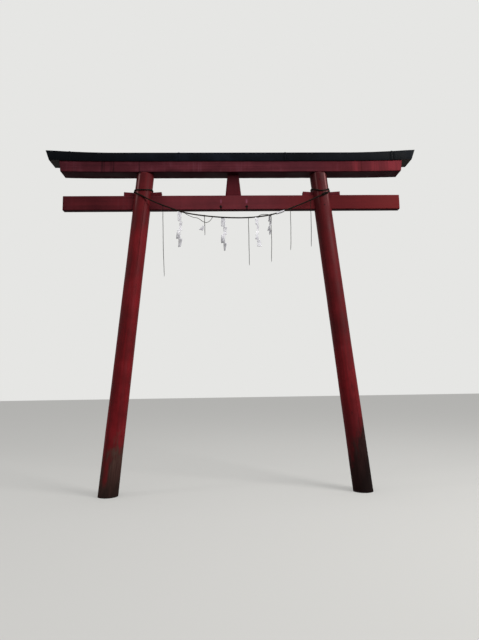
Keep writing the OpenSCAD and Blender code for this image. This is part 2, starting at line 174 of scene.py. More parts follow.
def rounded_loop(width, height, radius, across, up):
    """Points round a rectangle with rounded corners, with across and up cells on its straight sides."""
    points = []
    corners = [(1, -1, -90), (1, 1, 0), (-1, 1, 90), (-1, -1, 180)]
    for i, (sx, sy, start) in enumerate(corners):
        cx, cy = sx * (width / 2 - radius), sy * (height / 2 - radius)
        arc = [math.radians(start + step) for step in (0, 30, 60, 90)]
        points += [(cx + radius * math.cos(a), cy + radius * math.sin(a)) for a in arc]
        nx, ny, _ = corners[(i + 1) % 4]
        end = (nx * (width / 2 - radius), ny * (height / 2 - radius))
        out = (math.cos(arc[-1]) * radius, math.sin(arc[-1]) * radius)
        cells = up if abs(cy - end[1]) > abs(cx - end[0]) else across
        for k in range(1, cells):
            t = k / cells
            points.append((cx + (end[0] - cx) * t + out[0], cy + (end[1] - cy) * t + out[1]))
    return points


def end_steps(start, end, cell, radius):
    """Distances along a timber with its ends rounded: (place, inset) pairs, close together near both ends."""
    rounding = ((0, 1.0), (0.134, 0.5), (0.5, 0.134))
    span = end - start - 2 * radius
    cells = max(2, round(span / cell))
    steps = [(start + a * radius, b * radius) for a, b in rounding]
    steps += [(start + radius + span * i / cells, 0.0) for i in range(cells + 1)]
    steps += [(end - a * radius, b * radius) for a, b in reversed(rounding)]
    return steps


# A timber's flat ends are closed by rings that shrink to a middle point by these shares
END_RINGS = (0.82, 0.58, 0.34, 0.14)


def sawn_timber(name, start, end, cell, radius, cells, section):
    """A timber from start to end with rounded edges. section(place) gives its middle there, the directions of
    its width and height, its width and its height, which have so many cells."""
    steps = end_steps(start, end, cell, radius)
    rows = [(steps[0], share) for share in reversed(END_RINGS)]
    rows += [(step, 1.0) for step in steps]
    rows += [(steps[-1], share) for share in END_RINGS]
    points, grain = [], []
    for (place, inset), share in rows:
        middle, side, up, width, height = section(place)
        for u, v in rounded_loop(width - 2 * inset, height - 2 * inset, radius, *cells):
            points.append(Vector(middle) + u * share * Vector(side) + v * share * Vector(up))
            grain.append((u * share, v * share, place))
    count = len(points) // len(rows)
    faces = skin_faces(len(rows), count)
    for place, first in ((start, 0), (end, len(points) - count)):
        close_end(points, faces, grain, first, count, Vector(section(place)[0]), (0, 0, place))
    return closed_piece(name, points, faces, grain)


def weather(piece, waviness, seed, wear=0.0, edge=None):
    """Moves a timber's points in and out a little, as planing and years of weather leave them. Further from
    the middle than edge, in width and in height, wear takes away more."""
    mesh = piece.data
    outwards = [vertex.normal.copy() for vertex in mesh.vertices]
    for vertex, place, out in zip(mesh.vertices, mesh.attributes["grain"].data, outwards):
        u, v, s = place.vector
        long_wave = noise.noise(Vector((u / 0.07, v / 0.07 + seed, s / 0.45)))
        short_wave = noise.noise(Vector((u / 0.018 + seed, v / 0.018, s / 0.11)))
        shift = waviness * (long_wave + 0.4 * short_wave)
        if edge and abs(u) > edge[0] and abs(v) > edge[1]:
            chip = noise.noise(Vector((u / 0.03, v / 0.03 + 2 * seed, s / 0.05)))
            shift -= wear * (0.5 + max(0.0, chip))
        vertex.co += shift * out
    mesh.update()
    return piece


# Timbers


def upper_rise(x):
    """How far the upper beam has curved up at distance x from the gate's middle."""
    s = max(0.0, abs(x) - CURVE_START)
    return CURVE_RADIUS - math.sqrt(CURVE_RADIUS**2 - s * s)


def make_tie_beam():
    height, thick, radius = TIE_HIGH.z - TIE_LOW.z, TIE_HIGH.y - TIE_LOW.y, 0.005

    def section(x):
        return (x, 0, (TIE_LOW.z + TIE_HIGH.z) / 2), (0, 1, 0), (0, 0, 1), thick, height

    start, end = TIE_LOW.x - TIE_END_OUT, TIE_HIGH.x + TIE_END_OUT
    piece = sawn_timber("tie_beam_timber", start, end, 0.012, radius, (6, 16), section)
    edge = (thick / 2 - radius, height / 2 - radius)
    return weather(piece, waviness=0.0007, seed=3.1, wear=0.0012, edge=edge)


def make_upper_beam():
    """The upper beam, whose ends curve up and are cut at a slant."""
    depth, radius, slant_reach = UPPER_HIGH.y - UPPER_LOW.y, 0.006, 0.12
    half = UPPER_HIGH.x - GATE_MIDDLE - UPPER_END_OUT / 2

    def section(x):
        lean = max(0.0, (abs(x) - half + slant_reach) / slant_reach) * UPPER_END_OUT / UPPER_HEIGHT
        middle = (GATE_MIDDLE + x, 0, POST_TOP + UPPER_HEIGHT / 2 + upper_rise(x))
        return middle, (0, 1, 0), (math.copysign(lean, x), 0, 1), depth, UPPER_HEIGHT

    piece = sawn_timber("upper_beam_timber", -half, half, 0.012, radius, (16, 12), section)
    edge = (depth / 2 - radius, UPPER_HEIGHT / 2 - radius)
    return weather(piece, waviness=0.0009, seed=7.7, wear=0.0015, edge=edge)


def make_strut():
    """The center strut. The photograph shows it a few millimetres wider and further right than the solid."""
    foot_w, head_w, thick = 0.177, 0.126, 0.064
    middle_x = GATE_MIDDLE + 0.009

    def section(z):
        width = foot_w + (head_w - foot_w) * (z - TIE_TOP) / (POST_TOP - TIE_TOP)
        return (middle_x, 0, z), (1, 0, 0), (0, 1, 0), width, thick

    piece = sawn_timber("center_strut_timber", TIE_TOP, POST_TOP, 0.010, 0.004, (14, 6), section)
    return weather(piece, waviness=0.0006, seed=1.3)


def make_wedge(node):
    """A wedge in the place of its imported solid, thick at the end that stands out of the post."""
    low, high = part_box(node)
    outer_h, inner_h = 0.044, 0.030
    outer_is_low = ("outer" in node) == (low.x < GATE_MIDDLE)

    def section(x):
        share = (high.x - x) / (high.x - low.x) if outer_is_low else (x - low.x) / (high.x - low.x)
        height = inner_h + (outer_h - inner_h) * share
        return (x, 0, low.z + height / 2), (0, 1, 0), (0, 0, 1), high.y - low.y, height

    piece = sawn_timber(node + "_timber", low.x, high.x, 0.008, 0.003, (7, 5), section)
    return weather(piece, waviness=0.0006, seed=low.x * 3)


# Drying cracks of a post: (degrees round it, lowest and highest height, depth)
POST_CRACKS = {
    "left_post": [
        (-67, 2.35, 3.26, 0.007), (-128, 0.25, 1.45, 0.006), (74, 0.9, 2.9, 0.010), (160, 1.7, 3.0, 0.008),
    ],
    "right_post": [
        (-112, 0.15, 1.15, 0.007), (-45, 1.7, 2.6, 0.005), (95, 1.3, 3.1, 0.010), (15, 0.5, 1.5, 0.007),
    ],
}
# A crack's columns of points: (degrees beside its middle, share of its depth)
CRACK_COLUMNS = ((-1.7, 0), (-0.8, 0.04), (-0.28, 0.55), (0, 1.0), (0.28, 0.55), (0.8, 0.04), (1.7, 0))


def make_post(node, foot_x, side):
    """A leaning, tapering round post. side is 1 where the post leans towards +X. Each crack has columns of
    points of its own, close together, and wanders a little as it climbs."""
    cracks = POST_CRACKS[node]
    columns = [(angle, None, 0) for angle in np.arange(-180, 180, 4.5)]
    for k, (middle, *_) in enumerate(cracks):
        columns = [c for c in columns if c[1] is not None or abs((c[0] - middle + 180) % 360 - 180) > 3.2]
        columns += [(middle + beside, k, share) for beside, share in CRACK_COLUMNS]
    columns.sort(key=lambda c: (c[0] + 180) % 360)
    heights = np.linspace(0, POST_TOP, 292)
    points, grain = [], []
    for z in heights:
        radius = POST_FOOT_R + (POST_HEAD_R - POST_FOOT_R) * z / POST_TOP + HEAD_SWELL * (z / POST_TOP) ** 2
        middle_x = foot_x + side * POST_LEAN * z / POST_TOP
        for angle, k, share in columns:
            r = radius
            if k is not None:
                _, low, high, depth = cracks[k]
                angle += 2.6 * noise.noise(Vector((k * 5.3 + foot_x, 0, z / 0.35)))
                open_share = max(0.0, math.sin(math.pi * min(1, max(0, (z - low) / (high - low))))) ** 0.6
                width = 0.75 + 0.5 * noise.noise(Vector((k * 3.7, 4.1, z / 0.12)))
                r -= depth * share * open_share * width
            a = math.radians(angle)
            points.append((middle_x + side * r / LEAN_COS * math.cos(a), r * math.sin(a), z))
            grain.append((r * math.cos(a), r * math.sin(a), z + foot_x))
    count = len(columns)
    faces = skin_faces(len(heights), count)
    for first, z in ((0, 0.0), (len(points) - count, POST_TOP)):
        middle = (foot_x + side * POST_LEAN * z / POST_TOP, 0, z)
        close_end(points, faces, grain, first, count, middle, (0, 0, z + foot_x))
    piece = closed_piece(node + "_timber", points, faces, grain)
    flat = {v.index: v.co.z for v in piece.data.vertices if v.co.z < 0.001 or v.co.z > POST_TOP - 0.001}
    weather(piece, waviness=0.0012, seed=foot_x + 2.2)
    for i, z in flat.items():
        piece.data.vertices[i].co.z = z
    return piece


def softened(node, radius, cell):
    """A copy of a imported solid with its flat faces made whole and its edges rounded. Cuts across it every
    cell along X keep the shading of its long faces even."""
    bm = bmesh.new()
    bm.from_mesh(frame["nodes"][node].data)
    bmesh.ops.remove_doubles(bm, verts=bm.verts, dist=1e-5)
    bmesh.ops.dissolve_limit(bm, angle_limit=math.radians(0.6), verts=bm.verts, edges=bm.edges)
    sharp = [e for e in bm.edges if e.is_manifold and e.calc_face_angle() > math.radians(28)]
    bmesh.ops.bevel(
        bm, geom=sharp, offset=radius, segments=2, profile=0.6, affect="EDGES", clamp_overlap=True
    )
    low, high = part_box(node)
    for i in range(1, int((high.x - low.x) / cell)):
        whole = [*bm.verts, *bm.edges, *bm.faces]
        cut = (low.x + i * cell, 0, 0)
        bmesh.ops.bisect_plane(bm, geom=whole, dist=1e-6, plane_co=cut, plane_no=(1, 0, 0))
    bmesh.ops.triangulate(bm, faces=[f for f in bm.faces if len(f.verts) > 4])
    piece = new_piece(node + "_folded", [], [])
    bm.to_mesh(piece.data)
    bm.free()
    piece.data.polygons.foreach_set("use_smooth", [True] * len(piece.data.polygons))
    return piece


# Rope and straw


def curve_point(a, b, c, d, t):
    """A point on the smooth curve through b and c, with neighbours a and d."""
    return 0.5 * (2 * b + (c - a) * t + (2 * a - 5 * b + 4 * c - d) * t * t + (3 * b - a - 3 * c + d) * t**3)


def lengths_along(line):
    """How far along a line each of its points lies."""
    return np.concatenate([[0], np.cumsum(np.linalg.norm(np.diff(line, axis=0), axis=1))])


def read_between(wanted, places, rows):
    """Rows of three numbers, known at places, read at the places wanted."""
    return np.stack([np.interp(wanted, places, rows[:, k]) for k in range(3)], 1)


def smooth_line(points, step, closed=False):
    """Points a step apart on the smooth curve through points."""
    p = [np.array(q, float) for q in points]
    n = len(p)
    line = []
    for i in range(n if closed else n - 1):
        four = [p[(i + k) % n if closed else min(n - 1, max(0, i + k))] for k in (-1, 0, 1, 2)]
        line += [curve_point(*four, t) for t in np.linspace(0, 1, 12, endpoint=False)]
    line = np.array([*line, p[0] if closed else p[-1]])
    lengths = lengths_along(line)
    count = max(8, round(lengths[-1] / step))
    return read_between(np.linspace(0, lengths[-1], count + 1), lengths, line)


def line_frames(line, closed=False):
    """Directions along and across a line at each of its points."""
    if closed:
        along = np.roll(line, -1, 0) - np.roll(line, 1, 0)
    else:
        along = np.gradient(line, axis=0)
    along /= np.linalg.norm(along, axis=1)[:, None]
    upright = np.abs(along[:, 2]).min() > 0.9
    side = np.cross(along, (0, 1, 0) if upright else (0, 0, 1))
    side /= np.linalg.norm(side, axis=1)[:, None]
    return along, side, np.cross(side, along)


def tube(mesh, line, radius, sides, closed=False, thin_start=False, thin_end=False):
    """Adds a tube along a line to a mesh's lists of points, faces and grain."""
    points, faces, grain = mesh
    _, side, up = line_frames(line, closed)
    first = len(points)
    for i, (p, length) in enumerate(zip(line, lengths_along(line))):
        share = i / (len(line) - 1)
        r = radius * min(1, 6 * share + 0.6 if thin_start else 1, 6 * (1 - share) + 0.6 if thin_end else 1)
        add_circle(points, grain, p, r, side[i], up[i], length, sides)
    new = skin_faces(len(line), sides, closed)
    if not closed:
        last = (len(line) - 1) * sides
        new += [tuple(range(sides)), tuple(range(last, last + sides))]
    faces += counted_on(new, first)


def laid_rope(name, line, diameter, lay, fibres, seed, closed=False):
    """Three strands twisted round a line, one turn in each lay, with loose straw ends standing out."""
    strand_r = diameter / 2 / (1 + 2 / math.sqrt(3))
    offset = diameter / 2 - strand_r
    line = line[:-1] if closed else line
    along, side, up = line_frames(line, closed)
    length = lengths_along(line)
    if closed:
        turns = round((length[-1] + length[1]) / lay)
        turn = 2 * math.pi * turns * np.arange(len(line)) / len(line)
    else:
        turn = 2 * math.pi * length / lay
    mesh = points, faces, grain = [], [], []
    for k in range(3):
        a = turn + 2 * math.pi * k / 3
        strand = line + offset * (np.cos(a)[:, None] * side + np.sin(a)[:, None] * up)
        tube(mesh, strand, strand_r * 1.04, 8, closed)
    draw = random.Random(seed)
    for _ in range(fibres):
        i = draw.randrange(len(line)) if closed else draw.randrange(6, len(line) - 6)
        a = draw.uniform(0, 2 * math.pi)
        out = math.cos(a) * side[i] + math.sin(a) * up[i]
        across = np.cross(out, along[i])
        reach = draw.uniform(0.007, 0.017)
        rise = draw.uniform(0.0008, 0.0032)
        root = line[i] + out * diameter * 0.42
        aside = draw.choice((-1, 1)) * along[i] * reach + across * draw.uniform(-0.004, 0.004)
        tip = root + out * rise + aside
        faces += counted_on([(0, 1, 2), (0, 3, 1), (1, 3, 2), (2, 3, 0)], len(points))
        points += [root + across * 0.0005, root - across * 0.0005, root + out * 0.0006, tip]
        grain += [(0.002, 0.001, length[i] + i * 0.0001)] * 4
    return closed_piece(name, *mesh)


def ring_line(node, wave):
    """The line of a rope ring round its post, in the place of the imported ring, rising and falling by wave."""
    low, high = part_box(node)
    middle = (low + high) / 2
    rx, ry = (high.x - low.x - ROPE_D) / 2, (high.y - low.y - ROPE_D) / 2
    side = 1 if middle.x < GATE_MIDDLE else -1
    points = []
    for i in range(24):
        a = 2 * math.pi * i / 24
        z = middle.z + wave * math.cos(2 * a)
        lean = (z - middle.z) * POST_LEAN / POST_TOP * side
        points.append((middle.x + lean + (rx - 0.0005) * math.cos(a), (ry - 0.0005) * math.sin(a), z))
    return smooth_line(points, 0.004, closed=True)


def make_knot(node, turn):
    """A rope end tied in a knot: a knotted line, turned about Z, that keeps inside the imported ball."""
    low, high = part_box(node)
    middle, size = (low + high) / 2, (high.x - low.x) / 2
    cord_r = 0.0050
    big = size - cord_r - 0.0030
    turned = Matrix.Rotation(turn, 3, "Z") @ Matrix.Rotation(0.6, 3, "X")
    points = []
    for i in range(36):
        t = 2 * math.pi * i / 36
        r = big * (0.68 + 0.32 * math.cos(3 * t))
        point = Vector((r * math.cos(2 * t), big * 0.55 * math.sin(3 * t), r * math.sin(2 * t)))
        points.append(tuple(turned @ point + middle))
    line = smooth_line(points, 0.002, closed=True)
    return laid_rope(node + "_tied", line, 2 * cord_r, 0.03, 60, turn, closed=True)


def make_strand(name, line, radius, seed, free_end=True):
    """A loose strand of a few straws along a line. A free end thins out."""
    mesh = [], [], []
    draw = random.Random(seed)
    places = range(len(line))
    wobble = np.array([[noise.noise(Vector((i * 0.21, seed, k))) for k in range(3)] for i in places])
    tube(mesh, line + 0.0012 * wobble, radius, 7, thin_end=free_end)
    for _ in range(3):
        shift = np.array([draw.uniform(-1, 1) for _ in range(3)]) * radius * 0.8
        first = draw.randrange(0, len(line) // 3)
        last = draw.randrange(2 * len(line) // 3, len(line))
        tube(mesh, line[first:last] + shift, radius * 0.45, 5, thin_start=True, thin_end=True)
    return closed_piece(name, *mesh)


def hanging_line(node, sway):
    """The line of a hanging strand from the rope down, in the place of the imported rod. Its end is swayed
    aside a little, and it is never quite straight."""
    low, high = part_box(node)
    x, y = (low.x + high.x) / 2, (low.y + high.y) / 2
    points = []
    for i in range(16):
        t = i / 15
        bend = 0.004 * noise.noise(Vector((x * 7, 3.3, t * 3.1))) * min(1, 5 * t)
        points.append((x + sway * t * t + bend, y + bend, high.z + (low.z - high.z) * t))
    return smooth_line(points, 0.006)


def make_ties(name, line, places):
    """Two slanting turns of straw round the rope at each place in X, which hold the hanging strands."""
    mesh = points, faces, grain = [], [], []
    along, side, up = line_frames(line)
    radius, straw_r, steps, sides = ROPE_D / 2 + 0.0008, 0.0018, 20, 6
    for x in places:
        i = int(np.argmin(np.abs(line[:, 0] - x)))
        for shift, slant in ((-0.0022, 0.0020), (0.0022, -0.0012)):
            faces += counted_on(skin_faces(steps, sides, closed=True), len(points))
            for k in range(steps):
                a = 2 * math.pi * k / steps
                out = math.cos(a) * side[i] + math.sin(a) * up[i]
                away = radius * out + (shift + slant * math.sin(a)) * along[i]
                outwards = away / np.linalg.norm(away)
                add_circle(points, grain, line[i] + away, straw_r, outwards, along[i], k * 0.003, sides)
    return closed_piece(name, *mesh)


def make_lashing(name, line, start_x, end_x, turns, radius):
    """The rope's spare end, wound round the rope's line between two places in X in front of a post."""
    core = np.array([p for p in line if start_x < p[0] < end_x and p[1] < 0])
    _, side, up = line_frames(core)
    share = np.linspace(0, 1, turns * 18)
    places = range(len(core))
    middle, across, above = (read_between(share * (len(core) - 1), places, rows) for rows in (core, side, up))
    a = (2 * math.pi * turns * share)[:, None]
    wound = middle + (ROPE_D / 2 + 0.6 * radius) * (np.cos(a) * across + np.sin(a) * above)
    mesh = [], [], []
    tube(mesh, wound, radius, 7, thin_start=True, thin_end=True)
    return closed_piece(name, *mesh)


# Paper


def make_streamer(node, rope_front, twists, leans, sway):
    """A folded paper streamer: strips that step from side to side, each leaning against the one above, turned
    about its length by twists, in degrees, from its top to its bottom. The first strip reaches up into the
    rope."""
    low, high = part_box(node)
    strips, strip_w, strip_step, rows_a_strip = 4, 0.046, 0.026, 9
    rows = strips * rows_a_strip
    length, top = high.z - low.z, high.z
    middle_x, plane_y = low.x + strip_w / 2, (low.y + high.y) / 2
    # One strip covers the left and shared columns, the next one the shared and right columns
    left = np.linspace(-strip_w / 2, strip_step - strip_w / 2, 5)
    shared = np.linspace(strip_step - strip_w / 2, strip_w / 2, 5)[1:]
    right = np.linspace(strip_w / 2, strip_w / 2 + strip_step, 5)[1:]
    across = np.concatenate([left, shared, right])
    points, faces, grain = [], [], []
    for i in range(rows + 1):
        t = i / rows
        strip = min(strips - 1, i // rows_a_strip)
        in_strip = i / rows_a_strip - strip
        turn = math.radians(np.interp(i, np.linspace(0, rows, len(twists)), twists))
        if strip % 2:
            fold = leans[strip] * (1 - abs(2 * in_strip - 1))
        else:
            fold = -2 * leans[strip] * in_strip * (1 - in_strip)
        # The lower strips hang back a little, into the lee of the rope
        behind = 0.003 + 0.004 * min(1, 3 * t)
        tucked = max(0.0, 1 - strips * t)
        for s in across:
            depth = 0.7 * (s - strip_step / 2) * math.sin(turn)
            s = s - strip_step / 2 * t
            curl = 0.004 * (s / strip_w) ** 2 * math.sin(5 * t + s * 60)
            x = middle_x + s * math.cos(turn) + sway * t * t
            y = plane_y + behind + depth + fold + curl
            z = top - length * t * (1 - 0.02 * t) - 0.04 * abs(s) * t
            z += tucked * (np.interp(x, rope_front[:, 0], rope_front[:, 2]) - 0.003 - top)
            points.append((x, y, z))
            grain.append((s, t * length, strip))
        if i < rows:
            cells = range(len(left) - 1, len(across) - 1) if strip % 2 else range(len(left) + len(shared) - 1)
            faces += grid_faces(i, len(across), cells)
    return closed_piece(node + "_paper", points, faces, grain, sheet=0.0005)


def make_rope_wrap(name, line, radius):
    """A scrap of paper folded over the rope along line, its lower edges torn and standing away."""
    _, side, up = line_frames(line)
    points, faces, grain = [], [], []
    angles = np.linspace(math.radians(-52), math.radians(225), 15)
    for i, p in enumerate(line):
        share = i / (len(line) - 1)
        for k, a in enumerate(angles):
            torn = 1 + 0.12 * noise.noise(Vector((share * 6, k * 0.4, 2)))
            edge = abs(k - 7) / 7
            r = radius * torn * (1 + 0.55 * edge**3)
            points.append(p + r * (math.cos(a) * side[i] + math.sin(a) * up[i]))
            grain.append((share, k, 0))
        if share < 1:
            faces += grid_faces(i, len(angles), range(len(angles) - 1))
    return closed_piece(name, points, faces, grain, sheet=0.0004)


def make_paper_scrap(name, corners, seed):
    """What is left of a torn streamer: a creased scrap between four corners, its edges torn."""
    cells = 10
    top_left, top_right, low_left, low_right = (Vector(c) for c in corners)
    points, faces, grain = [], [], []
    for i in range(cells + 1):
        for j in range(cells + 1):
            v, u = i / cells, j / cells
            p = top_left.lerp(top_right, u).lerp(low_left.lerp(low_right, u), v)
            torn = 0.005 * noise.noise(Vector((u * 4, v * 4, seed)))
            crease = 0.006 * abs(math.sin(2.5 * (u + 0.6 * v) + seed))
            points.append(p + Vector((torn, crease, 1.4 * torn)))
            grain.append((u, v, 0))
        if i < cells:
            faces += grid_faces(i, cells + 1, range(cells))
    return closed_piece(name, points, faces, grain, sheet=0.0005)


# Nails


def nail_heads(name, places, radius, height, sides=12):
    """Domed nail heads as one mesh. places holds (middle of the head on the surface, direction outwards)."""
    points, faces, grain = [], [], []
    profile = ((1.0, -0.5), (1.0, 0.25), (0.86, 0.62), (0.5, 0.92))
    for place, direction in places:
        turn = Vector((0, 0, 1)).rotation_difference(Vector(direction).normalized())
        first = len(points)
        for share, rise in profile:
            for k in range(sides):
                a = 2 * math.pi * k / sides
                local = Vector((radius * share * math.cos(a), radius * share * math.sin(a), height * rise))
                points.append(Vector(place) + turn @ local)
                grain.append(local)
        faces += counted_on(skin_faces(len(profile), sides), first)
        for ring, rise in ((0, -0.5), (len(profile) - 1, 1.0)):
            local = Vector((0, 0, height * rise))
            middle = Vector(place) + turn @ local
            close_end(points, faces, grain, first + ring * sides, sides, middle, local)
    return closed_piece(name, points, faces, grain)


def surface_nails(piece, places):
    """Where nails in the front or back of a piece sit. Each place is (x, z, 1 for front or -1 for back)."""
    mesh = piece.data
    tree = BVHTree.FromPolygons([v.co for v in mesh.vertices], [p.vertices for p in mesh.polygons])
    hits = [tree.ray_cast((x, -front, z), (0, front, 0)) for x, z, front in places]
    return [(hit[0], hit[1]) for hit in hits if hit[0]]


# Materials


def linear(colour):
    """An sRGB hex colour as the linear colour that the shaders take. Anything else is left as it is."""
    if not isinstance(colour, str):
        return colour
    values = [int(colour[i:i + 2], 16) / 255 for i in (1, 3, 5)]
    return (*[v / 12.92 if v <= 0.04045 else ((v + 0.055) / 1.055) ** 2.4 for v in values], 1.0)


def add(material, kind, inputs=(), output=0, stops=(), **settings):
    """Adds a node with its settings, a ramp's stops and its inputs, in order or by name, each a value or a
    socket to link. Gives one of its outputs."""
    node = material.node_tree.nodes.new(kind)
    for key, value in settings.items():
        setattr(node, key, value)
    if stops:
        ramp = node.color_ramp.elements
        ramp[0].position, ramp[1].position = stops[0][0], stops[-1][0]
        ramp[0].color, ramp[1].color = linear(stops[0][1]), linear(stops[-1][1])
        for place, colour in stops[1:-1]:
            ramp.new(place).color = linear(colour)
    for key, value in inputs.items() if isinstance(inputs, dict) else enumerate(inputs):
        if isinstance(value, bpy.types.NodeSocket):
            material.node_tree.links.new(value, node.inputs[key])
        else:
            node.inputs[key].default_value = value
    return node.outputs[output] if len(node.outputs) else None


def new_material(name):
    material = bpy.data.materials.new(name)
    material.use_nodes = True
    material.node_tree.nodes.clear()
    return material


def finish_material(m, colour, roughness, relief, others):
    """Ends a material with its colour, roughness, relief (height, strength, depth in metres) and the shader's
    other values."""
    bump = add(m, "ShaderNodeBump", dict(zip(("Height", "Strength", "Distance"), relief)))
    values = {"Base Color": colour, "Roughness": roughness, "Normal": bump, **others}
    add(m, "ShaderNodeOutputMaterial", {"Surface": add(m, "ShaderNodeBsdfPrincipled", values)})
    return m


def lay_coats(m, colour, coats):
    """Lays coats over a colour one after another, each (how far it covers, its colour)."""
    for cover, coat in coats:
        layers = {0: cover, 6: colour, 7: linear(coat)}
        colour = add(m, "ShaderNodeMix", layers, output=2, data_type="RGBA")
    return colour


def sum_of(m, start, *parts):
    """start plus every part, each (value, weight)."""
    for value, weight in parts:
        start = add(m, "ShaderNodeMath", [value, weight, start], operation="MULTIPLY_ADD")
    return start


def mask(m, *limits):
    """How far every limit holds. Each is (value, start, end) and goes softly from 0 at start to 1 at end, or
    to a fourth number if it has one."""
    shares = []
    for value, start, end, *top in limits:
        ends = [value, start, end, 0.0, *(top or [1.0])]
        shares.append(add(m, "ShaderNodeMapRange", ends, interpolation_type="SMOOTHSTEP"))
    while len(shares) > 1:
        shares[:2] = [add(m, "ShaderNodeMath", shares[:2], operation="MULTIPLY")]
    return shares[0]


def distance(m, value, place):
    """How far a value is from a place, to either side."""
    gap = add(m, "ShaderNodeMath", [value, place], operation="SUBTRACT")
    return add(m, "ShaderNodeMath", [gap], operation="ABSOLUTE")


def band(m, value, place, half_width):
    """A mask's limit that holds in a soft band round a place."""
    return distance(m, value, place), half_width, half_width * 0.2


def stretched_noise(m, place, per_metre, detail=4, roughness=0.6, seed=None):
    """Noise with so many spots in each metre of the three directions. A seed moves it along a fourth one."""
    scaled = add(m, "ShaderNodeVectorMath", [place, per_metre], operation="MULTIPLY")
    values = {"Vector": scaled, "Scale": 1.0, "Detail": detail, "Roughness": roughness}
    if seed is None:
        return add(m, "ShaderNodeTexNoise", values)
    return add(m, "ShaderNodeTexNoise", {**values, "W": seed}, noise_dimensions="4D")


def rain_marks(m, axes, trails, dark, pale):
    """Old joints and runs from the cover, as ragged dark and pale bands (place in X, half width)."""
    wander = sum_of(m, axes[0], (trails, 0.02))
    kinds = ((dark, (trails, 0.36, 0.56, 0.75), "#1c0b0e"), (pale, (trails, 0.30, 0.66, 0.45), "#94363f"))
    coats = []
    for marks, ragged, paint in kinds:
        for x, half_width in marks:
            coats.append((mask(m, band(m, wander, x + 0.01, half_width), ragged), paint))
    return coats


def nail_marks(m, axes, trails, nails):
    """A chalky rub above each nail, where something hung, and a dark run of rust below it."""
    coats = []
    for x, z in nails:
        beside = band(m, axes[0], x, 0.014)
        above = ((axes[2], z + 0.03, z + 0.05), (axes[2], z + 0.095, z + 0.07))
        coats.append((mask(m, beside, *above, (trails, 0.34, 0.58, 0.8)), "#8d4c62"))
        coats.append((mask(m, beside, (axes[2], z + 0.012, z - 0.010, 0.9)), "#1d0a0e"))
    return coats


def post_wear(m, axes, grain, figure, post):
    """What the years left on a post, as coats and the mask of its lost paint: at its foot the paint gone to
    grey-brown wood, higher on one side, with one streak of paint left, and dark wet dirt near the ground.
    Its coats also hold painted highlights, pale upright lines down the front of its head."""
    aside = sum_of(m, axes[0], (axes[2], -POST_LEAN / POST_TOP * post["side"]), (-post["x"], 1.0))
    front = (axes[1], 0.0, -0.04)
    # Painted highlights: pale upright streaks down the front of the post's head, where light glints on the
    # paint
    painted_highlights = [
        (mask(m, band(m, aside, place, half_width), front, (axes[2], 3.0, 3.42, share)), "#b88482")
        for place, half_width, share in post["painted_highlights"]
    ]
    blots = stretched_noise(m, grain, (20, 20, 7), 5, 0.62, seed=2.0)
    height = sum_of(m, 0.40, (blots, -0.80), (axes[2], 1.0), (aside, -post["rise"]))
    low_down = ((axes[2], 0.08, 0.18, post["kept"]), (axes[2], 0.42, 0.32))
    streak = mask(m, band(m, aside, post["streak"], 0.042), front, *low_down)
    peeled = mask(m, (height, post["top"] + 0.12, post["top"] - 0.12))
    lost = add(m, "ShaderNodeMath", [peeled, sum_of(m, 1.0, (streak, -1.0))], operation="MULTIPLY")
    tone = sum_of(m, 0.0, (figure, 0.5), (blots, 0.5))
    woods = ((0.36, post["dark"]), (0.5, post["wood"]), (0.64, post["pale"]))
    bare = add(m, "ShaderNodeValToRGB", [tone], stops=woods)
    wet = mask(m, (height, post["wet"] + 0.16, post["wet"] - 0.16, 0.85))
    return [*painted_highlights, (lost, bare), (wet, post["soil"])], lost


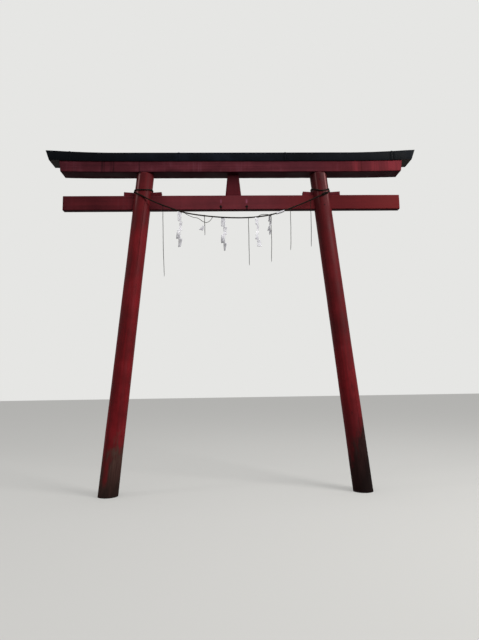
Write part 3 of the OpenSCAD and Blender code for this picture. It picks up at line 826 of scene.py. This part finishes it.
def painted_timber(
    name, deep, plain, bright, chalk, gloss=0.03, shade_under_beam=0.0, post=None,
    dark=(), pale=(), nails=(), tones=(),
):
    """Oil paint brushed on planed cedar: vermilion that has dulled and chalked outdoors. It keeps a low
    sheen and shows the brush and the grain along the wood. Painted shade darkens it underneath and, by
    the share given for it, close under the upper beam. tones are (axis, start, end, share, colour): soft
    changes of colour along an axis, mostly painted light and shade."""
    m = new_material(name)
    grain = add(m, "ShaderNodeAttribute", output="Vector", attribute_name="grain")
    place = add(m, "ShaderNodeTexCoord", output="Object")
    axes = add(m, "ShaderNodeSeparateXYZ", [place]).node.outputs
    facing_up = add(m, "ShaderNodeSeparateXYZ", [add(m, "ShaderNodeNewGeometry", output="Normal")], output=2)

    # Growth rings 5 mm apart and half a metre long, brush marks 25 mm wide, hand-sized faded patches and
    # trails of rain 20 mm wide
    figure = stretched_noise(m, grain, (200, 200, 2), seed=0.0)
    brushed = stretched_noise(m, grain, (40, 40, 0.8), 3, 0.55, seed=0.0)
    patches = stretched_noise(m, place, (3.2, 3.2, 3.2), seed=0.0)
    trails = stretched_noise(m, place, (50, 50, 2.2), seed=0.0)
    # Fine cracks along the grain, a hand long
    lines = stretched_noise(m, grain, (45, 45, 1.1), 2, 0.5, seed=3.0)
    where = stretched_noise(m, grain, (4.5, 4.5, 4.5), 1, 0.5, seed=9.0)
    cracks = mask(m, (distance(m, lines, 0.5), 0.009, 0.002), (where, 0.60, 0.68, 0.7))
    # Chalking, where rain and light have turned the paint's skin to powder
    worn = mask(m, (trails, 0.46, 0.76), (patches, 0.44, 0.66, 0.35))

    tone = sum_of(m, 0.0, (patches, 0.6), (brushed, 0.4))
    colour = add(m, "ShaderNodeValToRGB", [tone], stops=((0.38, deep), (0.5, plain), (0.62, bright)))
    coats = [(worn, chalk), (mask(m, (figure, 0.54, 0.78, 0.22)), deep)]
    coats += rain_marks(m, axes, trails, dark, pale)
    coats += [(mask(m, (axes[axis], start, end, share)), over) for axis, start, end, share, over in tones]
    coats += [
        # Painted shade: darker on faces that look down, and close under the upper beam by the given share
        (mask(m, (facing_up, -0.35, -0.85, 0.9)), "#36111a"),
        (mask(m, (axes[2], POST_TOP - 0.34, POST_TOP, shade_under_beam)), "#1e0b0f"),
        (cracks, "#170b0c"),
    ]
    coats += nail_marks(m, axes, trails, nails)
    if post:
        wear, lost = post_wear(m, axes, grain, figure, post)
        coats += wear
        worn = add(m, "ShaderNodeMath", [worn, lost], operation="MAXIMUM")
    sheen = add(m, "ShaderNodeMapRange", [patches, 0.35, 0.65, 0.48, 0.66])
    # Relief: grain about 0.3 mm deep, cracks 1.5 mm
    relief = sum_of(m, 0.0, (brushed, 0.35), (figure, 0.25), (cracks, -1.2))
    return finish_material(
        m, lay_coats(m, colour, coats), sum_of(m, sheen, (worn, 0.35)), (relief, 0.5, 0.0016),
        {"Specular IOR Level": gloss},
    )


def coated_steel():
    """Thin galvanised sheet with a baked black-brown coat: a dull satin, wavy because the sheet is thin, with
    rain-washed dust on top. Painted shade darkens it towards both ends of the cap."""
    m = new_material("coated_sheet_steel")
    place = add(m, "ShaderNodeTexCoord", output="Object")
    along = add(m, "ShaderNodeSeparateXYZ", [place])
    facing_up = add(m, "ShaderNodeSeparateXYZ", [add(m, "ShaderNodeNewGeometry", output="Normal")], output=2)
    dust = add(m, "ShaderNodeTexNoise", {"Vector": place, "Scale": 5, "Detail": 6, "Roughness": 0.62})
    trails = stretched_noise(m, place, (60, 60, 2.5))
    tones = ((0.35, "#080a0e"), (0.55, "#0b0f16"), (0.72, "#12161e"))
    coat = add(m, "ShaderNodeValToRGB", [dust], stops=tones)
    washed = add(m, "ShaderNodeMapRange", [trails, 0.5, 0.72, 0.0, 0.45])
    on_top = add(m, "ShaderNodeMapRange", [facing_up, 0.3, 0.95, 0.15, 0.75])
    colour = lay_coats(m, coat, [
        (add(m, "ShaderNodeMath", [washed, on_top], operation="MULTIPLY"), "#25272b"),
        # Painted shade: darker towards both ends of the cap
        (mask(m, (along, 0.9, -0.4, 0.65)), "#020304"),
        (mask(m, (along, 1.4, 2.3, 0.60)), "#030507"),
    ])
    rough = add(m, "ShaderNodeMapRange", [dust, 0.3, 0.7, 0.38, 0.58])
    # The sheet is never quite flat: waves 0.2 m apart, and a fine orange peel in the coat
    waves = add(m, "ShaderNodeTexNoise", {"Vector": place, "Scale": 6, "Detail": 1})
    peel = add(m, "ShaderNodeTexNoise", {"Vector": place, "Scale": 700, "Detail": 2})
    relief = sum_of(m, waves, (peel, 0.01))
    return finish_material(m, colour, rough, (relief, 0.6, 0.006), {"Specular IOR Level": 0.045})


def dark_cedar():
    """Sawn cedar under the cover, its colour painted nearly black as its shaded underside looks: matt, with the
    saw's marks across it.
    """
    m = new_material("dark_sawn_cedar")
    place = add(m, "ShaderNodeTexCoord", output="Object")
    figure = stretched_noise(m, place, (3, 160, 160), 5, 0.62)
    # Painted shade: the cedar's tones are nearly black, as the shaded underside of the cap looks
    tones = ((0.3, "#17110f"), (0.55, "#2a1f1a"), (0.75, "#3b2d25"))
    colour = add(m, "ShaderNodeValToRGB", [figure], stops=tones)
    waves = {"Vector": place, "Scale": 60, "Distortion": 2.5, "Detail": 2}
    relief = sum_of(m, figure, (add(m, "ShaderNodeTexWave", waves, output=1), 0.3))
    return finish_material(m, colour, 0.85, (relief, 0.5, 0.001), {"IOR": 1.45})


def rice_straw(name, *tones):
    """Twisted rice straw, two winters old: matt grey-brown stalks about 2 mm wide, the lay full of soot and
    rain dirt, with a few paler stalks. The tones go from the lay to the palest stalks."""
    m = new_material(name)
    grain = add(m, "ShaderNodeAttribute", output="Vector", attribute_name="grain")
    place = add(m, "ShaderNodeTexCoord", output="Object")
    figure = stretched_noise(m, grain, (900, 900, 40), 4, 0.65)
    patches = add(m, "ShaderNodeTexNoise", {"Vector": place, "Scale": 9, "Detail": 3})
    tone = sum_of(m, figure, (patches, 0.45))
    colour = add(m, "ShaderNodeValToRGB", [tone], stops=tuple(zip((0.5, 0.68, 0.80, 0.92), tones)))
    return finish_material(m, colour, 0.88, (figure, 0.8, 0.0008), {"Specular IOR Level": 0.1})


def washi_paper():
    """Handmade white paper, cut and folded: matt, faintly mottled with fibres, creased and a little grey from
    rain."""
    m = new_material("folded_white_paper")
    place = add(m, "ShaderNodeTexCoord", output="Object")
    damp = add(m, "ShaderNodeTexNoise", {"Vector": place, "Scale": 22, "Detail": 5, "Roughness": 0.6})
    tones = ((0.28, "#c6c2cb"), (0.5, "#e2dfe5"), (0.7, "#efedf0"))
    colour = add(m, "ShaderNodeValToRGB", [damp], stops=tones)
    fibres = add(m, "ShaderNodeTexNoise", {"Vector": place, "Scale": 420, "Detail": 3})
    creases = add(m, "ShaderNodeTexNoise", {"Vector": place, "Scale": 55, "Detail": 1})
    relief = sum_of(m, creases, (fibres, 0.12))
    return finish_material(m, colour, 0.9, (relief, 0.5, 0.002), {
        "Specular IOR Level": 0.3, "Subsurface Weight": 0.7, "Subsurface Radius": (1, 1, 1),
        "Subsurface Scale": 0.004,
    })


def rusty_iron():
    """Forged iron nails, painted over once and rusted since: nearly black, matt, with red-brown rust."""
    m = new_material("rusted_forged_iron")
    place = add(m, "ShaderNodeTexCoord", output="Object")
    rust = add(m, "ShaderNodeTexNoise", {"Vector": place, "Scale": 260, "Detail": 5, "Roughness": 0.65})
    tones = ((0.4, "#0a0707"), (0.58, "#190e0d"), (0.75, "#331b13"))
    colour = add(m, "ShaderNodeValToRGB", [rust], stops=tones)
    return finish_material(m, colour, 0.78, (rust, 0.7, 0.0006), {"Specular IOR Level": 0.1})


# Camera, first, at the photograph's viewing angle

SENSOR = 36.0
FOCAL_PX, LONG_SIDE_PX = 500.0, 640.0
CAMERA_PLACE = Vector((1.2414, -5.4388, 1.1822))
CAMERA_YAW, CAMERA_PITCH, CAMERA_ROLL = -0.0294, 0.12, -0.0148


def make_camera():
    lens = bpy.data.cameras.new("camera")
    lens.sensor_width = SENSOR
    lens.lens = SENSOR * FOCAL_PX / LONG_SIDE_PX
    camera = bpy.data.objects.new("camera", lens)
    bpy.context.scene.collection.objects.link(camera)
    turn = (
        Matrix.Rotation(CAMERA_YAW, 4, "Z")
        @ Matrix.Rotation(math.pi / 2 + CAMERA_PITCH, 4, "X")
        @ Matrix.Rotation(CAMERA_ROLL, 4, "Z")
    )
    camera.matrix_world = Matrix.Translation(CAMERA_PLACE) @ turn
    bpy.context.scene.camera = camera


make_camera()

# The rope and what is tied to it

straw = rice_straw("weathered_rice_straw", "#0a0907", "#130f0c", "#211b15", "#443a2d")
sooty_straw = rice_straw("blackened_rice_straw", "#0b0908", "#15110e", "#221b16", "#3a2f25")
paper = washi_paper()

knots = [
    finish_piece(make_knot(node, turn), sooty_straw, "straw_rope", node)
    for node, turn in (("left_rope_knot", 0.4), ("right_rope_knot", 2.1))
]

# A loose end hangs in a loop left of the rope's middle, and one arches over the rope and down on the right
LOOSE_LOOP = [
    (0.805, -0.104, -0.222), (0.850, -0.108, -0.252), (0.905, -0.110, -0.277), (0.960, -0.110, -0.290),
    (1.020, -0.109, -0.330), (1.060, -0.108, -0.335), (1.095, -0.107, -0.312), (1.119, -0.104, -0.273),
]
LOOSE_ARCH = [
    (1.622, -0.106, -0.268), (1.655, -0.112, -0.254), (1.692, -0.114, -0.250), (1.735, -0.113, -0.254),
    (1.757, -0.112, -0.266), (1.765, -0.1115, -0.290), (1.7645, -0.1105, -0.325),
]
# How far the lower end of each hanging strand is swayed aside
STRAND_SWAY = {
    "straw_strand_1": 0.016, "straw_strand_2": 0.004, "straw_strand_3": 0.003, "straw_strand_4": -0.004,
    "straw_strand_5": -0.009, "straw_strand_6": -0.008,
}


def from_tie_beam(route):
    """A route whose heights are measured from the tie beam's top, in the gate's own frame."""
    return [(x, y, TIE_TOP + z) for x, y, z in route]


rope_points = from_tie_beam(ROPE_ROUTE)
rope_line = smooth_line(rope_points, 0.0042)
rope_front = rope_line[rope_line[:, 1] < ROPE_FRONT_Y]
loop_line, arch_line = (smooth_line(from_tie_beam(route), 0.004) for route in (LOOSE_LOOP, LOOSE_ARCH))
strand_lines = {node: hanging_line(node, sway) for node, sway in STRAND_SWAY.items()}
tie_places = [line[0][0] for line in strand_lines.values()]
strands = [
    finish_piece(make_strand("loose_rope_loop", loop_line, 0.0030, 5, free_end=False), straw, "straw_rope"),
    finish_piece(make_strand("loose_rope_arch", arch_line, 0.0034, 8), sooty_straw, "straw_rope"),
    finish_piece(make_ties("strand_ties", rope_front, tie_places), straw, "straw_rope"),
    finish_piece(
        make_lashing("right_rope_lashing", rope_line, 2.338, 2.400, turns=6, radius=0.0048),
        sooty_straw, "straw_rope",
    ),
]
rope = laid_rope("rope_span_laid", rope_line, ROPE_D, ROPE_LAY, fibres=900, seed=11)
finish_piece(rope, straw, "straw_rope", "rope_span")
for seed, (node, line) in enumerate(strand_lines.items()):
    strand = make_strand(node + "_of_straw", line, 0.0030, 20 + seed)
    finish_piece(strand, sooty_straw, "straw_rope", node)
for node, wave in (("left_rope_ring", 0.010), ("right_rope_ring", 0.022)):
    line = ring_line(node, wave)
    ring = laid_rope(node + "_laid", line, ROPE_D, ROPE_LAY, fibres=240, seed=17, closed=True)
    finish_piece(ring, sooty_straw, "straw_rope", node)

# Each streamer's twists in degrees, its strips' leans and how far its lower end is swayed aside
STREAMERS = {
    "left_streamer": ((12, 40, 68, 30, -25, -50), (0.012, 0.014, 0.016, 0.012), -0.012),
    "middle_streamer": ((-8, 10, 48, 20, -40, -66), (0.010, 0.012, 0.018, 0.014), 0.008),
    "right_streamer": ((25, 48, 74, 52, 30, -12), (0.014, 0.016, 0.012, 0.010), 0.010),
    "short_streamer": ((-72, -60, -68, -46, -78), (0.010, 0.012, 0.012, 0.010), -0.004),
}
for node, (twists, leans, sway) in STREAMERS.items():
    finish_piece(make_streamer(node, rope_front, twists, leans, sway), paper, "streamer_paper", node)

under_tag = rope_front[(rope_front[:, 0] > 1.822) & (rope_front[:, 0] < 1.912)]
finish_piece(make_rope_wrap("rope_paper_tag", under_tag, 0.0098), paper, "streamer_paper")
strand_x, strand_y, _ = strand_lines["straw_strand_2"][0]
scrap_corners = [
    (strand_x - 0.026, strand_y - 0.003, TIE_TOP - 0.378),
    (strand_x + 0.003, strand_y - 0.004, TIE_TOP - 0.366),
    (strand_x - 0.060, strand_y - 0.010, TIE_TOP - 0.420),
    (strand_x - 0.014, strand_y - 0.006, TIE_TOP - 0.428),
]
finish_piece(make_paper_scrap("torn_paper_scrap", scrap_corners, 2.0), paper, "streamer_paper")

# Timbers. A post's lost paint reaches up to top, its streak of kept paint stands beside its middle, and its
# painted highlights are (place beside the middle, half width, share)

LEFT_POST = {
    "x": 0.0, "side": 1, "rise": 0.6, "top": 0.46, "wet": 0.12, "streak": -0.034, "kept": 0.75,
    "dark": "#321f1d", "wood": "#48302b", "pale": "#584038", "soil": "#241916",
    "painted_highlights": ((-0.055, 0.015, 0.62),),
}
RIGHT_POST = {
    "x": RIGHT_FOOT_X, "side": -1, "rise": 2.4, "top": 0.57, "wet": 0.20, "streak": -0.050, "kept": 0.0,
    "dark": "#190d0d", "wood": "#291716", "pale": "#3a2523", "soil": "#140c0b",
    "painted_highlights": ((-0.050, 0.011, 0.18), (0.057, 0.016, 0.34)),
}
# The posts' paint, with a share of painted shade close under the upper beam
POST_PAINT = {
    "deep": "#520f13", "plain": "#671318", "bright": "#79171d", "chalk": "#783c43", "gloss": 0.09,
    "shade_under_beam": 0.35,
}
X_AXIS, Z_AXIS = 0, 2
# Painted shade on the posts: both are darker on their heads under the beams, and the right post is darker over
# its middle from 0.9 m up. The right post is also darker below 1.05 m
left_shade_tones = ((Z_AXIS, 2.75, 3.05, 0.22, "#2b0d0f"),)
right_darkening_tones = (
    (Z_AXIS, 0.9, 2.1, 0.40, "#2b0d0f"), (Z_AXIS, 2.75, 3.05, 0.34, "#2b0d0f"),
    (Z_AXIS, 1.05, 0.65, 0.50, "#2b0d0f"),
)
left_paint = painted_timber("vermilion_paint_left_post", post=LEFT_POST, tones=left_shade_tones, **POST_PAINT)
right_paint = painted_timber("vermilion_paint_right_post", post=RIGHT_POST, tones=right_darkening_tones, **POST_PAINT)
left_post = finish_piece(make_post("left_post", 0.0, 1), left_paint, "post_paint", "left_post")
right_post = finish_piece(make_post("right_post", RIGHT_FOOT_X, -1), right_paint, "post_paint", "right_post")

TIE_NAILS = {}
for node in ("left_tie_nail", "right_tie_nail"):
    low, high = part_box(node)
    TIE_NAILS[node] = ((low.x + high.x) / 2, (low.z + high.z) / 2)
tie_paint = painted_timber(
    "vermilion_paint_tie_beam", "#4b1a1f", "#5b2025", "#6a242a", "#743c43", nails=TIE_NAILS.values(),
    # Painted light and shade along the tie beam: darker towards its left end, redder and lighter towards its
    # right end, where the light falls, and a little paler from 0.35 m on
    tones=(
        (X_AXIS, 0.35, 0.75, 0.15, "#7b434a"), (X_AXIS, 0.9, -0.4, 0.38, "#2a0d10"),
        (X_AXIS, 1.6, 2.3, 0.6, "#4b0604"), (X_AXIS, 2.6, 3.2, 0.4, "#742423"),
    ),
)
finish_piece(make_tie_beam(), tie_paint, "beam_paint", "tie_beam")
upper_paint = painted_timber(
    "vermilion_paint_upper_beam", "#3d181e", "#4b1e25", "#5a262e", "#704551",
    dark=((-0.091, 0.030), (0.012, 0.035), (0.311, 0.012), (2.797, 0.010)),
    pale=((2.73, 0.08), (2.95, 0.07), (3.16, 0.14)),
    # Painted light along the upper beam: redder and lighter towards its right end, where the light falls
    tones=((X_AXIS, 2.1, 2.6, 0.3, "#4b0604"), (X_AXIS, 2.6, 3.3, 0.25, "#8a3138")),
)
finish_piece(make_upper_beam(), upper_paint, "beam_paint", "upper_beam")
# The strut and the wedges get painted shade close under the upper beam
strut_paint = painted_timber(
    "vermilion_paint_strut", "#43151b", "#521a20", "#5c1e25", "#6a3741", shade_under_beam=0.6
)
finish_piece(make_strut(), strut_paint, "beam_paint", "center_strut")
wedge_paint = painted_timber(
    "vermilion_paint_wedges", "#46151b", "#581b21", "#661f26", "#723a43", shade_under_beam=0.4
)
for node in ("left_outer_wedge", "left_inner_wedge", "right_inner_wedge", "right_outer_wedge"):
    finish_piece(make_wedge(node), wedge_paint, "wedge_paint", node)

# The cap

CAP_SHEETS = (
    "cap_sheet_left_end", "cap_sheet_left", "cap_sheet_middle", "cap_sheet_right", "cap_sheet_right_end",
)
steel = coated_steel()
cedar = dark_cedar()
for node in (*CAP_SHEETS, "left_cap_end_plate", "right_cap_end_plate"):
    finish_piece(softened(node, radius=0.0008, cell=0.04), steel, "cap_metal", node)
frame["nodes"]["cap_beam"].data.materials.clear()
frame["nodes"]["cap_beam"].data.materials.append(cedar)

# Nails

iron = rusty_iron()
for node, (x, z) in TIE_NAILS.items():
    head = nail_heads(node + "_head", [((x, TIE_LOW.y, z), (0, -1, 0))], radius=0.014, height=0.008, sides=24)
    finish_piece(head, iron, "nail_iron", node)

post_nails = surface_nails(right_post, [(2.316, 3.410, 1), (2.365, 3.113, 1)])
post_nails += surface_nails(left_post, [(0.232, 3.146, 1)])
finish_piece(nail_heads("post_nails", post_nails, radius=0.006, height=0.003), iron, "nail_iron")

# Small nails hold the cover's lower edge, a hand and a half apart
cover_nails = []
for node in CAP_SHEETS:
    low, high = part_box(node)
    count = max(1, round((high.x - low.x - 0.14) / 0.24))
    for i in range(count + 1):
        x = low.x + 0.09 + (high.x - low.x - 0.18) * i / count
        z = POST_TOP + UPPER_HEIGHT + upper_rise(x - GATE_MIDDLE) + 0.016
        cover_nails += surface_nails(frame["nodes"][node], [(x, z, 1), (x, z, -1)])
cover_heads = nail_heads("cover_nails", cover_nails, radius=0.0045, height=0.0018, sides=8)
finish_piece(cover_heads, steel, "cap_metal")

# Studio: a pale floor, a pale backdrop and soft light from above and the right


def seen_directly(m):
    """1 for what the camera sees, also in a mirror or through glass, and 0 for the light on the gate."""
    path = add(m, "ShaderNodeLightPath").node.outputs
    seen = add(m, "ShaderNodeMath", [path["Is Camera Ray"], path["Is Glossy Ray"]], operation="MAXIMUM")
    return add(m, "ShaderNodeMath", [seen, path["Is Transmission Ray"]], operation="MAXIMUM")


def make_floor():
    half = 30.0
    corners = [(-half, -half, 0), (half, -half, 0), (half, half, 0), (-half, half, 0)]
    floor = new_piece("floor", corners, [(0, 1, 2, 3)])
    m = new_material("pale_studio_floor")
    seen = seen_directly(m)
    colour = lay_coats(m, linear("#565654"), [(seen, "#979693")])
    glow = add(m, "ShaderNodeMath", [seen, 0.36], operation="MULTIPLY")
    shader = add(m, "ShaderNodeBsdfPrincipled", {
        "Base Color": colour, "Roughness": 1.0, "Specular IOR Level": 0.0,
        "Emission Color": linear("#dddcd9"), "Emission Strength": glow,
    })
    add(m, "ShaderNodeOutputMaterial", {"Surface": shader})
    floor.data.materials.append(m)


def make_world():
    """A backdrop of one pale tone, and for the light on the gate a sky that is brighter towards its top."""
    world = bpy.data.worlds.new("studio")
    world.use_nodes = True
    world.node_tree.nodes.clear()
    direction = add(world, "ShaderNodeTexCoord", output="Generated")
    height = add(world, "ShaderNodeSeparateXYZ", [direction], output=2)
    light_levels = ((0.0, (0.05, 0.05, 0.05, 1)), (0.5, (0.24, 0.245, 0.25, 1)), (1.0, (0.78, 0.79, 0.8, 1)))
    share_up = add(world, "ShaderNodeMapRange", [height, -1.0, 1.0])
    sky = add(world, "ShaderNodeValToRGB", [share_up], stops=light_levels)
    colour = lay_coats(world, sky, [(seen_directly(world), "#e6e6e4")])
    shader = add(world, "ShaderNodeBackground", {"Color": colour, "Strength": 1.0})
    add(world, "ShaderNodeOutputWorld", {"Surface": shader})
    bpy.context.scene.world = world


def make_lamp(name, place, target, size, power):
    lamp = bpy.data.lights.new(name, "AREA")
    lamp.size, lamp.energy = size, power
    holder = bpy.data.objects.new(name, lamp)
    bpy.context.scene.collection.objects.link(holder)
    holder.location = place
    holder.rotation_euler = (Vector(target) - Vector(place)).to_track_quat("-Z", "Y").to_euler()


make_floor()
make_world()
make_lamp("key_lamp", (6.8, -4.2, 5.6), (1.4, 0, 2.2), 3.0, 500)
make_lamp("sky_lamp", (1.3, -1.5, 8.0), (1.3, 0, 2.5), 5.0, 110)
make_lamp("left_lamp", (-5.5, -2.0, 6.5), (1.0, 0, 2.6), 1.0, 70)
bpy.context.scene.view_settings.view_transform = "Standard"
